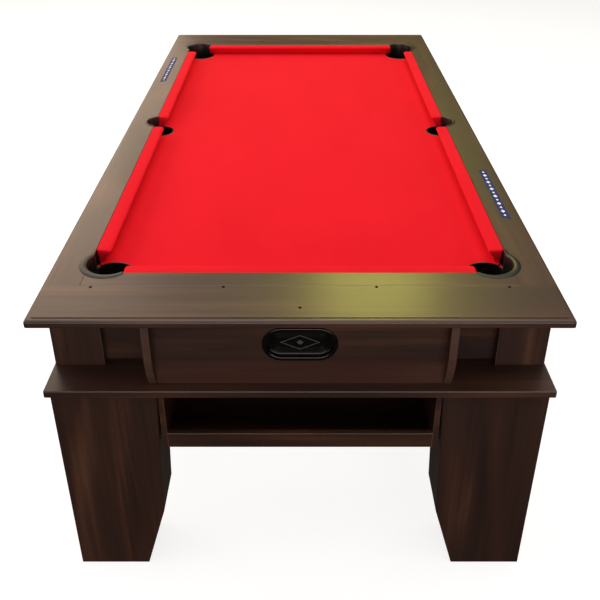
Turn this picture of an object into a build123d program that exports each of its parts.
"""Home pool table with a red cloth, six drop pockets, a ball return and four box legs.

Frame: origin on the floor under the middle of the table, +Z up, +Y along the length
away from the ball tray, +X to the right of a player who stands at the tray.
Places along the length are given as a distance in from the end of the table.
"""
import os
from math import radians, tan

from build123d import *

# ---------------------------------------------------------------- driving dimensions, mm
LENGTH = 2400.0
WIDTH = 1220.0
HEIGHT = 820.0
LINER_FLANGE = 2.0          # pocket flanges stand this far above the rail
RAIL_THICK = 21.0
RAIL_TOP = HEIGHT - LINER_FLANGE
RAIL_BOTTOM = RAIL_TOP - RAIL_THICK
CUSHION_DROP = 38.0         # playing surface below the rail top
BED_TOP = RAIL_TOP - CUSHION_DROP
CLOTH_THICK = 1.0
SLAB_THICK = 18.0
SLAB_TOP = BED_TOP - CLOTH_THICK
SLAB_BOTTOM = SLAB_TOP - SLAB_THICK
LEDGE_TOP = 610.0
LEDGE_THICK = 20.0
LEDGE_BOTTOM = LEDGE_TOP - LEDGE_THICK
PANEL = 18.0                # board thickness of aprons and brackets

SIDE_RAIL_WIDTH = 90.0
END_RAIL_OUTER = 140.0
END_RAIL_INNER = 56.0
WOOD_X = WIDTH / 2 - SIDE_RAIL_WIDTH               # inner edge of the side rails
WOOD_IN = END_RAIL_OUTER + END_RAIL_INNER          # inner edge of the end rails
SLAB_TUCK_X = 7.0           # slab reaches this far under the side rails
SLAB_TUCK_Y = 12.0          # and this far under the end rails

CUSHION_DEEP = 37.0
CUSHION_BACK = 20.0
CORNER_X = 470.0
CORNER_IN = 242.0
CORNER_R = 57.0
CORNER_LIP = 12.0           # flange width outside the hole
SIDE_POCKET_X = 505.0
SIDE_POCKET_R = 43.0
SIDE_LIP = 6.0
LINER_WALL = 3.0
LINER_BOTTOM = 745.0
FIT = 0.3                   # gap left between neighbours that aren't fixed by a fit
PAST = 1.0                  # a cutter runs this far past the face it opens

APRON_IN = 129.0            # end apron face, in from the end
APRON_X = 571.0             # side apron face
BLOCK_X = (476.0, 596.0)
BLOCK_IN = 104.0
BLOCK_DEPTH = 120.0
BOX_X = 338.0               # half width of the panel between the brackets
BOX_IN = 38.0
BRACKET_IN = 8.0

LEDGE_X = 600.0
LEDGE_IN = 8.0
LEDGE_WIDTH = 160.0

LEG_X = (338.0, 590.0)
LEG_KNEE = (353.0, 195.0)
LEG_FOOT_X = 409.0
LEG_IN = 20.0
LEG_DEPTH = 130.0
LEG_WALL = 15.0
FOOT_THICK = 32.0

TRAY_BOTTOM = 417.0
TRAY_LIP_TOP = 461.0
TRAY_FLOOR = 12.0
TRAY_IN = 26.0
TRAY_DEEP = 304.0
TRAY_WALL = 14.0

RUNWAY_X = (412.0, 551.0)
RUNWAY_LOW = 652.0
RUNWAY_SLOPE = 0.9          # degrees
CHUTE_IN = (172.0, 300.0)
CHUTE_HIGH = 645.0
CHUTE_SLOPE = 3.4           # degrees
CHUTE_DROP_X = 60.0
CHUTE_DEEP_X = 327.0        # the chute's walls reach lower inside this
SHEET = 6.0                 # runway and chute board thickness
TROUGH_WALL = 50.0

STUD_R = 4.0
STUD_FIT = 0.05
STUD_TOP = 60.0
PAD_R = 20.0
PAD_THICK = 8.0
PAD_RECESS = 12.0

SCREW_R = 2.0
SCREW_HEAD_R = 3.6
SCREW_LONG = 45.0
SCREW_SINK = 5.0            # depth of the counterbore that hides the head
SCREW_HEAD = 3.2
SCREW_IN = 133.0
SCREW_X = (492.0, 180.0)
CENTRE_SCREW_IN = 50.0

HALF_L = LENGTH / 2
HALF_W = WIDTH / 2
OUT = "parts"
os.makedirs(OUT, exist_ok=True)
pieces = []


# ---------------------------------------------------------------- helpers
def along(distance_in):
    """The Y of a place that far in from the tray end of the table."""
    return distance_in - HALF_L


def keep(part, label):
    """Name a finished piece and put it on the list to be written."""
    part.label = label
    pieces.append(part)
    return part


def board(x, y, z):
    """A plain board between two limits on each axis; y is measured in from the end."""
    with BuildPart() as piece:
        with BuildSketch(Plane.XY.offset(z[0])):
            with Locations(((x[0] + x[1]) / 2, along((y[0] + y[1]) / 2))):
                Rectangle(x[1] - x[0], y[1] - y[0])
        extrude(amount=z[1] - z[0])
    return piece.part


def rod(x, y, z, radius):
    """An upright cylinder between two heights; y is measured in from the end."""
    with BuildPart() as piece:
        with BuildSketch(Plane.XY.offset(z[0])):
            with Locations((x, along(y))):
                Circle(radius)
        extrude(amount=z[1] - z[0])
    return piece.part


def four_corners(part, name):
    """Keep a front-right piece and its three mirror images, one at each corner."""
    left = mirror(part, about=Plane.YZ)
    keep(part, name.format("front_right"))
    keep(left, name.format("front_left"))
    keep(mirror(part, about=Plane.XZ), name.format("rear_right"))
    keep(mirror(left, about=Plane.XZ), name.format("rear_left"))


def both_sides(part, name):
    """Keep a right-hand piece and its mirror image on the left."""
    keep(part, name.format("right"))
    keep(mirror(part, about=Plane.YZ), name.format("left"))


def both_ends(part, name):
    """Keep a front piece and its mirror image at the rear."""
    keep(part, name.format("front"))
    keep(mirror(part, about=Plane.XZ), name.format("rear"))


def pocket_places():
    """Centre, hole radius, flange width and node suffix of the six pockets."""
    corner = (CORNER_R, CORNER_LIP)
    side = (SIDE_POCKET_R, SIDE_LIP)
    return [
        (CORNER_X, CORNER_IN, *corner, "front_right"),
        (-CORNER_X, CORNER_IN, *corner, "front_left"),
        (SIDE_POCKET_X, HALF_L, *side, "side_right"),
        (-SIDE_POCKET_X, HALF_L, *side, "side_left"),
        (CORNER_X, LENGTH - CORNER_IN, *corner, "rear_right"),
        (-CORNER_X, LENGTH - CORNER_IN, *corner, "rear_left"),
    ]


def screw_places():
    """The screws that hold an end rail down, at the tray end."""
    places = [(side * x, SCREW_IN) for x in SCREW_X for side in (-1, 1)]
    return places + [(0.0, CENTRE_SCREW_IN)]


def cut_pockets(part, z, clearance):
    """Cut the six round pocket holes through a board."""
    for x, y, radius, _, _ in pocket_places():
        part = part - rod(x, y, z, radius + LINER_WALL + clearance)
    return part


# ---------------------------------------------------------------- top frame
# The frame's outer edge is one moulding: a shallow step, a round nose and an eased
# bottom edge. The blank carries it all round and each rail is a length of that blank.
STEP_WIDE = 13.0
STEP_DEEP = 1.5
NOSE_R = 7.0
EASE_R = 3.0
CORNER_ROUND = 6.0

with BuildPart() as frame_blank:
    with BuildSketch(Plane.XY.offset(RAIL_BOTTOM)):
        RectangleRounded(WIDTH, LENGTH, CORNER_ROUND)
    extrude(amount=RAIL_THICK - STEP_DEEP)
    fillet(frame_blank.faces().sort_by(Axis.Z)[-1].edges(), NOSE_R)
    fillet(frame_blank.faces().sort_by(Axis.Z)[0].edges(), EASE_R)
    with BuildSketch(Plane.XY.offset(RAIL_TOP - STEP_DEEP)):
        RectangleRounded(WIDTH - 2 * STEP_WIDE, LENGTH - 2 * STEP_WIDE, CORNER_ROUND)
    extrude(amount=STEP_DEEP)


def rail(x, y):
    """The length of the frame blank that lies between these limits, pockets cut out."""
    with BuildPart() as piece:
        add(frame_blank.part)
        with BuildSketch(Plane.XY.offset(RAIL_BOTTOM)):
            with Locations(((x[0] + x[1]) / 2, along((y[0] + y[1]) / 2))):
                Rectangle(x[1] - x[0], y[1] - y[0])
        extrude(amount=RAIL_THICK, mode=Mode.INTERSECT)
    return piece.part


rail_z = (RAIL_BOTTOM - PAST, RAIL_TOP + PAST)
side_rail = rail((WOOD_X, HALF_W), (END_RAIL_OUTER, LENGTH - END_RAIL_OUTER))
both_sides(cut_pockets(side_rail, rail_z, FIT), "side_rail_{}")

inner_rail = rail((-WOOD_X, WOOD_X), (END_RAIL_OUTER, WOOD_IN))
both_ends(cut_pockets(inner_rail, rail_z, FIT), "{}_rail_inner")

outer_rail = rail((-HALF_W, HALF_W), (0.0, END_RAIL_OUTER))
for x, y in screw_places():
    outer_rail = outer_rail - rod(x, y, rail_z, SCREW_R + STUD_FIT)
    outer_rail = outer_rail - rod(x, y, (RAIL_TOP - SCREW_SINK, RAIL_TOP + PAST), SCREW_HEAD_R + FIT)
both_ends(outer_rail, "{}_rail_outer")

# The screws sit in counterbores, a little below the surface, and have a cross recess.
CROSS_LONG = 4.2
CROSS_WIDE = 1.0
CROSS_DEEP = 1.4
head_seat = RAIL_TOP - SCREW_SINK
front_screws = []
for x, y in screw_places():
    with BuildPart() as screw:
        with BuildSketch(Plane.XY.offset(head_seat)):
            with Locations((x, along(y))):
                Circle(SCREW_HEAD_R)
        extrude(amount=SCREW_HEAD)
        with BuildSketch(Plane.XY.offset(head_seat)):
            with Locations((x, along(y))):
                Circle(SCREW_R)
        extrude(amount=-SCREW_LONG)
        with BuildSketch(Plane.XY.offset(head_seat + SCREW_HEAD)):
            with Locations((x, along(y))):
                Rectangle(CROSS_LONG, CROSS_WIDE)
                Rectangle(CROSS_WIDE, CROSS_LONG)
        extrude(amount=-CROSS_DEEP, mode=Mode.SUBTRACT)
    front_screws.append(screw.part)
rear_screws = [mirror(screw, about=Plane.XZ) for screw in front_screws]
keep(Compound(children=front_screws + rear_screws), "rail_screws")


# ---------------------------------------------------------------- bed
# The bed is three boards end to end, which meet over a crossbar, under one sheet of cloth.
# Each corner is an open notch, so that the liner can be let in after the bed is down.
CROSSBAR_IN = (420.0, 800.0)
slab_x = (-WOOD_X - SLAB_TUCK_X, WOOD_X + SLAB_TUCK_X)
slab_y = (WOOD_IN - SLAB_TUCK_Y, LENGTH - WOOD_IN + SLAB_TUCK_Y)
bed_z = (SLAB_BOTTOM - PAST, BED_TOP + PAST)


def bed_layer(y, z):
    """A layer of the bed between these limits, with the pockets and corner notches cut."""
    layer = cut_pockets(board(slab_x, y, z), bed_z, FIT)
    notch_x = (CORNER_X, slab_x[1] + PAST)
    notch_y = (slab_y[0] - PAST, CORNER_IN)
    for x in (notch_x, (-notch_x[1], -notch_x[0])):
        layer = layer - board(x, notch_y, bed_z)
        layer = layer - board(x, (LENGTH - notch_y[1], LENGTH - notch_y[0]), bed_z)
    return layer


seams = (slab_y[0], CROSSBAR_IN[1], LENGTH - CROSSBAR_IN[1], slab_y[1])
slabs = [bed_layer(span, (SLAB_BOTTOM, SLAB_TOP)) for span in zip(seams, seams[1:])]
keep(Compound(children=slabs), "bed_slab")
keep(bed_layer(slab_y, (SLAB_TOP, BED_TOP)), "bed_cloth")

# Flat crossbars with a rib under each, clear of the pockets and the ball runways.
CROSSBAR_WIDE = 100.0
RIB_HALF = 400.0
RIB_BOTTOM = 640.0
APRON_INNER_X = APRON_X - PANEL
crossbars = []
for place in CROSSBAR_IN:
    flat = board(
        (-APRON_INNER_X, APRON_INNER_X),
        (place - CROSSBAR_WIDE / 2, place + CROSSBAR_WIDE / 2),
        (SLAB_BOTTOM - PANEL, SLAB_BOTTOM),
    )
    rib = board(
        (-RIB_HALF, RIB_HALF),
        (place - PANEL / 2, place + PANEL / 2),
        (RIB_BOTTOM, SLAB_BOTTOM - PANEL),
    )
    crossbars.append(flat + rib)
crossbars += [mirror(bar, about=Plane.XZ) for bar in crossbars]
keep(Compound(children=crossbars), "bed_crossbars")


# ---------------------------------------------------------------- cushions
# Section across a cushion: u runs from the wood edge towards the playing field. A tongue
# reaches back under the rail, and the nose stands clear of the bed.
CUSHION_TOP = RAIL_TOP - 1.0
NOSE_EASE = 4.0             # the chamfer above the nose
NOSE_DROP = 11.0            # the nose's lower edge, below the cushion's top
UNDERCUT = 20.0             # the foot stands this far behind the nose
CUSHION_FOOT = BED_TOP + FIT
TONGUE_TOP = RAIL_BOTTOM - FIT
SIDE_END_IN = 302.0
MIDDLE_GAP = 46.0
END_HALF = 430.0
CUSHION_SECTION = [
    (FIT, CUSHION_TOP),
    (CUSHION_DEEP - NOSE_EASE, CUSHION_TOP),
    (CUSHION_DEEP, CUSHION_TOP - NOSE_EASE),
    (CUSHION_DEEP, CUSHION_TOP - NOSE_DROP),
    (CUSHION_DEEP - UNDERCUT, CUSHION_FOOT),
    (-CUSHION_BACK, CUSHION_FOOT),
    (-CUSHION_BACK, TONGUE_TOP),
    (FIT, TONGUE_TOP),
]

with BuildPart() as side_cushion:
    with BuildSketch(Plane.XZ.offset(-along(SIDE_END_IN))):
        with BuildLine():
            Polyline([(WOOD_X - u, z) for u, z in CUSHION_SECTION], close=True)
        make_face()
    extrude(amount=-(HALF_L - MIDDLE_GAP - SIDE_END_IN))
left_cushion = mirror(side_cushion.part, about=Plane.YZ)
keep(side_cushion.part, "right_front_cushion")
keep(left_cushion, "left_front_cushion")
keep(mirror(side_cushion.part, about=Plane.XZ), "right_rear_cushion")
keep(mirror(left_cushion, about=Plane.XZ), "left_rear_cushion")

with BuildPart() as end_cushion:
    with BuildSketch(Plane.YZ.offset(-END_HALF)):
        with BuildLine():
            Polyline([(along(WOOD_IN + u), z) for u, z in CUSHION_SECTION], close=True)
        make_face()
    extrude(amount=2 * END_HALF)
both_ends(end_cushion.part, "{}_cushion")


# ---------------------------------------------------------------- pocket liners
# A full ring inside the bed hole, and above it a part ring with a flange that lies on the
# wood. The part of the ring that would stand over the playing field is cut away.
def liner(x, y, radius, lip):
    """One drop liner, open below onto the runway."""
    with BuildPart() as piece:
        with BuildSketch(Plane.XY.offset(LINER_BOTTOM)):
            with Locations((x, along(y))):
                Circle(radius + LINER_WALL)
                Circle(radius, mode=Mode.SUBTRACT)
        extrude(amount=RAIL_TOP - LINER_BOTTOM)
        with BuildSketch(Plane.XY.offset(RAIL_TOP)):
            with Locations((x, along(y))):
                Circle(radius + lip)
                Circle(radius, mode=Mode.SUBTRACT)
        extrude(amount=LINER_FLANGE)
        with BuildSketch(Plane.XY.offset(BED_TOP)):
            Rectangle(2 * (WOOD_X - FIT), LENGTH - 2 * (WOOD_IN + FIT))
        extrude(amount=HEIGHT - BED_TOP, mode=Mode.SUBTRACT)
    return piece.part


for x, y, radius, lip, place in pocket_places():
    keep(liner(x, y, radius, lip), f"pocket_liner_{place}")


# ---------------------------------------------------------------- aprons and corner blocks
apron_z = (LEDGE_TOP, RAIL_BOTTOM)
side_apron = board((APRON_INNER_X, APRON_X), (APRON_IN, LENGTH - APRON_IN), apron_z)
both_sides(side_apron, "apron_{}")

end_apron = board(
    (-APRON_INNER_X + FIT, APRON_INNER_X - FIT), (APRON_IN, APRON_IN + PANEL), apron_z
)
pilot_z = (head_seat - SCREW_LONG - PAST, RAIL_BOTTOM + PAST)
for x, y in screw_places():
    end_apron = end_apron - rod(x, y, pilot_z, SCREW_R + STUD_FIT)
both_ends(end_apron, "{}_apron")

# A corner block is a thick angle that wraps the corner and stands proud of both aprons.
block_front = board(BLOCK_X, (BLOCK_IN, APRON_IN), apron_z)
block_side = board((APRON_X, BLOCK_X[1]), (APRON_IN, BLOCK_IN + BLOCK_DEPTH), apron_z)
block = block_front + block_side
four_corners(block, "corner_block_{}")

# The box in the middle of each end: a front panel between two curved brackets.
centre_panel = board((-BOX_X, BOX_X), (BOX_IN, BOX_IN + PANEL), apron_z)
for x, y in screw_places():
    centre_panel = centre_panel - rod(x, y, pilot_z, SCREW_R + STUD_FIT)

BADGE_WIDE = 176.0
BADGE_TALL = 92.0
BADGE_Z = 725.0
BEZEL = 12.0
BADGE_PROUD = 4.0
BADGE_DEEP = 9.0
BADGE_ROUND = 3.0
badge_plane = Plane.XZ.offset(-along(BOX_IN))

with BuildPart() as badge_hole:
    with BuildSketch(badge_plane.offset(PAST)):
        with Locations((0, BADGE_Z)):
            SlotOverall(BADGE_WIDE - BEZEL, BADGE_TALL - BEZEL)
    extrude(amount=-PANEL - 2 * PAST)

with BuildPart() as badge:
    with BuildSketch(badge_plane):
        with Locations((0, BADGE_Z)):
            SlotOverall(BADGE_WIDE, BADGE_TALL)
    extrude(amount=BADGE_PROUD)
    with BuildSketch(badge_plane):
        with Locations((0, BADGE_Z)):
            SlotOverall(BADGE_WIDE - BEZEL - 2 * FIT, BADGE_TALL - BEZEL - 2 * FIT)
    extrude(amount=-PANEL)
    fillet(badge.faces().sort_by(Axis.Y)[0].edges(), BADGE_ROUND)
    with BuildSketch(badge_plane.offset(BADGE_PROUD)):
        with Locations((0, BADGE_Z)):
            SlotOverall(BADGE_WIDE - 2 * BEZEL, BADGE_TALL - 2 * BEZEL)
    extrude(amount=-BADGE_PROUD - BADGE_DEEP, mode=Mode.SUBTRACT)
keep(badge.part, "oval_badge")
keep(centre_panel - badge_hole.part, "front_centre_panel")
keep(mirror(centre_panel, about=Plane.XZ), "rear_centre_panel")

# A bracket's front edge runs straight down, then sweeps back to the panel at its foot.
BRACKET_STRAIGHT = 712.0
BRACKET_PROUD = 2.0         # the foot of the curve still stands this far before the panel
with BuildPart() as bracket:
    with BuildSketch(Plane.YZ.offset(BOX_X)):
        with BuildLine():
            top_front = (along(BRACKET_IN), RAIL_BOTTOM)
            bend = (along(BRACKET_IN), BRACKET_STRAIGHT)
            foot = (along(BOX_IN - BRACKET_PROUD), LEDGE_TOP)
            Line(top_front, bend)
            TangentArc(bend, foot, tangent=(0, -1))
            Polyline(foot, (along(APRON_IN), LEDGE_TOP), (along(APRON_IN), RAIL_BOTTOM), top_front)
        make_face()
    extrude(amount=PANEL)
four_corners(bracket.part, "bracket_{}")


# ---------------------------------------------------------------- ledge
LEDGE_EASE = 3.0
with BuildPart() as ledge_blank:
    with BuildSketch(Plane.XY.offset(LEDGE_BOTTOM)):
        Rectangle(2 * LEDGE_X, LENGTH - 2 * LEDGE_IN)
    extrude(amount=LEDGE_THICK)
    fillet(ledge_blank.edges(), LEDGE_EASE)


def ledge(x, y):
    """The length of the ledge blank that lies between these limits."""
    with BuildPart() as piece:
        add(ledge_blank.part)
        with BuildSketch(Plane.XY.offset(LEDGE_BOTTOM)):
            with Locations(((x[0] + x[1]) / 2, along((y[0] + y[1]) / 2))):
                Rectangle(x[1] - x[0], y[1] - y[0])
        extrude(amount=LEDGE_THICK, mode=Mode.INTERSECT)
    return piece.part


end_seam = LEDGE_IN + LEDGE_WIDTH
both_ends(ledge((-LEDGE_X, LEDGE_X), (LEDGE_IN, end_seam)), "ledge_{}")
both_sides(ledge((LEDGE_X - LEDGE_WIDTH, LEDGE_X), (end_seam, LENGTH - end_seam)), "ledge_{}")


# ---------------------------------------------------------------- legs and levelling feet
foot_x = (LEG_FOOT_X + LEG_X[1]) / 2
foot_in = LEG_IN + LEG_DEPTH / 2
diagonal = (LEG_FOOT_X - LEG_KNEE[0]) / LEG_KNEE[1]
LEG_EDGE = 2.0
PAD_CLEAR = 3.0             # room round the pad in its recess

with BuildPart() as leg:
    with BuildSketch(Plane.XZ.offset(-along(LEG_IN))):
        with BuildLine():
            Polyline(
                (LEG_FOOT_X, 0),
                (LEG_X[1], 0),
                (LEG_X[1], LEDGE_BOTTOM),
                (LEG_X[0], LEDGE_BOTTOM),
                LEG_KNEE,
                close=True,
            )
        make_face()
    extrude(amount=-LEG_DEPTH)
    fillet(leg.edges().filter_by(lambda e: e.center().Z < LEDGE_BOTTOM - PAST), LEG_EDGE)
    with BuildSketch(Plane.XZ.offset(-along(LEG_IN + LEG_WALL))):
        with BuildLine():
            Polyline(
                (LEG_FOOT_X - diagonal * FOOT_THICK + LEG_WALL, FOOT_THICK),
                (LEG_X[1] - LEG_WALL, FOOT_THICK),
                (LEG_X[1] - LEG_WALL, LEDGE_BOTTOM + PAST),
                (LEG_X[0] + LEG_WALL, LEDGE_BOTTOM + PAST),
                (LEG_KNEE[0] + LEG_WALL, LEG_KNEE[1]),
                close=True,
            )
        make_face()
    extrude(amount=-(LEG_DEPTH - 2 * LEG_WALL), mode=Mode.SUBTRACT)
    with BuildSketch(Plane.XY):
        with Locations((foot_x, along(foot_in))):
            Circle(PAD_R + PAD_CLEAR)
    extrude(amount=PAD_RECESS, mode=Mode.SUBTRACT)
    with BuildSketch(Plane.XY):
        with Locations((foot_x, along(foot_in))):
            Circle(STUD_R + STUD_FIT)
    extrude(amount=FOOT_THICK + PAST, mode=Mode.SUBTRACT)
four_corners(leg.part, "leg_{}")

# The pad carries the stud in a blind socket; the stud's hexagon is turned to set it.
SOCKET_FLOOR = 3.0
STUD_BOTTOM = SOCKET_FLOOR + 0.1
PAD_BEVEL = 2.0
HEX_R = 7.5
with BuildPart() as pad:
    with BuildSketch(Plane.XY):
        with Locations((foot_x, along(foot_in))):
            Circle(PAD_R)
    extrude(amount=PAD_THICK)
    chamfer(pad.edges().sort_by(Axis.Z)[-1], PAD_BEVEL)
    with BuildSketch(Plane.XY.offset(SOCKET_FLOOR)):
        with Locations((foot_x, along(foot_in))):
            Circle(STUD_R + STUD_FIT)
    extrude(amount=PAD_THICK, mode=Mode.SUBTRACT)
four_corners(pad.part, "foot_pad_{}")

with BuildPart() as stud:
    with BuildSketch(Plane.XY.offset(STUD_BOTTOM)):
        with Locations((foot_x, along(foot_in))):
            Circle(STUD_R)
    extrude(amount=STUD_TOP - STUD_BOTTOM)
    with BuildSketch(Plane.XY.offset(PAD_THICK + FIT)):
        with Locations((foot_x, along(foot_in))):
            RegularPolygon(HEX_R, 6)
    extrude(amount=PAD_RECESS - PAD_THICK - 2 * FIT)
four_corners(stud.part, "foot_stud_{}")


# ---------------------------------------------------------------- ball tray
tray_end = TRAY_IN + TRAY_DEEP
tray_inner = BOX_X - TRAY_WALL
tray_x = (-tray_inner, tray_inner)
lip_y = (TRAY_IN, TRAY_IN + TRAY_WALL)
back_y = (tray_end - TRAY_WALL, tray_end)
keep(board(tray_x, lip_y, (TRAY_BOTTOM, TRAY_LIP_TOP)), "tray_lip")
keep(board(tray_x, (lip_y[1], back_y[0]), (TRAY_BOTTOM, TRAY_BOTTOM + TRAY_FLOOR)), "tray_floor")
keep(board(tray_x, back_y, (TRAY_BOTTOM, LEDGE_BOTTOM)), "tray_back")
tray_side = board((tray_inner, BOX_X - FIT), (TRAY_IN, tray_end), (TRAY_BOTTOM, LEDGE_BOTTOM))
keep(Compound(children=[tray_side, mirror(tray_side, about=Plane.YZ)]), "tray_sides")


# ---------------------------------------------------------------- ball return
# Under each row of pockets a runway falls towards the tray end. Both pour into a chute
# across the table, whose two floors fall to a gap over the tray.
RUNWAY_GAP = 2.0            # between the runway's end and the ledge's end seam
runway_start = CHUTE_IN[1]
runway_end = LENGTH - end_seam - RUNWAY_GAP
run = runway_end - runway_start
rise = run * tan(radians(RUNWAY_SLOPE))
WEB_IN = (420.0, HALF_L, LENGTH - 250.0)
WEB_THICK = 12.0
WEB_X = (445.0, 545.0)
LET_IN = 1.0                # webs and end walls are let this far into the sloping floor


def runway_floor(distance_in):
    """Height of the runway's floor that far in from the tray end."""
    return RUNWAY_LOW + (distance_in - runway_start) * tan(radians(RUNWAY_SLOPE))


def strip(x, low, high):
    """A sloping length of runway between two X limits, low and high above its floor."""
    with BuildPart() as piece:
        with BuildSketch(Plane.YZ.offset(x[0])):
            with BuildLine():
                Polyline(
                    (along(runway_start), RUNWAY_LOW + low),
                    (along(runway_end), RUNWAY_LOW + rise + low),
                    (along(runway_end), RUNWAY_LOW + rise + high),
                    (along(runway_start), RUNWAY_LOW + high),
                    close=True,
                )
            make_face()
        extrude(amount=x[1] - x[0])
    return piece.part


runway = strip(RUNWAY_X, -SHEET, 0)
runway = runway + strip((RUNWAY_X[0], RUNWAY_X[0] + SHEET), 0, TROUGH_WALL)
runway = runway + strip((RUNWAY_X[1] - SHEET, RUNWAY_X[1]), 0, TROUGH_WALL)
end_floor = RUNWAY_LOW + rise - LET_IN
runway = runway + board(RUNWAY_X, (runway_end - SHEET, runway_end), (end_floor, end_floor + TROUGH_WALL))
for place in WEB_IN:
    web_top = runway_floor(place) - SHEET + LET_IN
    web_y = (place - WEB_THICK / 2, place + WEB_THICK / 2)
    runway = runway + board(WEB_X, web_y, (LEDGE_TOP, web_top))
both_sides(runway, "ball_runway_{}")

chute_fall = (RUNWAY_X[1] - CHUTE_DROP_X) * tan(radians(CHUTE_SLOPE))
chute_low = CHUTE_HIGH - chute_fall
CHUTE_TOP = CHUTE_HIGH + TROUGH_WALL
chute_front = (CHUTE_IN[0], CHUTE_IN[0] + SHEET)
chute_back = (CHUTE_IN[1] - SHEET - FIT, CHUTE_IN[1] - FIT)
with BuildPart() as chute_floor:
    with BuildSketch(Plane.XZ.offset(-along(CHUTE_IN[0]))):
        with BuildLine():
            Polyline(
                (CHUTE_DROP_X, chute_low),
                (RUNWAY_X[1], CHUTE_HIGH),
                (RUNWAY_X[1], CHUTE_HIGH - SHEET),
                (CHUTE_DROP_X, chute_low - SHEET),
                close=True,
            )
        make_face()
    extrude(amount=-(CHUTE_IN[1] - CHUTE_IN[0] - FIT))
chute = chute_floor.part + mirror(chute_floor.part, about=Plane.YZ)
upper_z = (CHUTE_HIGH - SHEET, CHUTE_TOP)
lower_z = (chute_low - SHEET, CHUTE_HIGH)
chute = chute + board((-RUNWAY_X[1], RUNWAY_X[1]), chute_front, upper_z)
chute = chute + board((-RUNWAY_X[0], RUNWAY_X[0]), chute_back, upper_z)
for wall_y in (chute_front, chute_back):
    chute = chute + board((-CHUTE_DEEP_X, CHUTE_DEEP_X), wall_y, lower_z)
web_middle = (CHUTE_IN[0] + CHUTE_IN[1]) / 2
web_y = (web_middle - WEB_THICK / 2, web_middle + WEB_THICK / 2)
for x in (WEB_X, (-WEB_X[1], -WEB_X[0])):
    chute = chute + board(x, web_y, (LEDGE_TOP, CHUTE_HIGH - 2 * SHEET))
keep(chute, "cross_chute")


# ---------------------------------------------------------------- write every piece
for part in pieces:
    export_step(part, os.path.join(OUT, part.label + ".step"))
print(len(pieces), "pieces written")
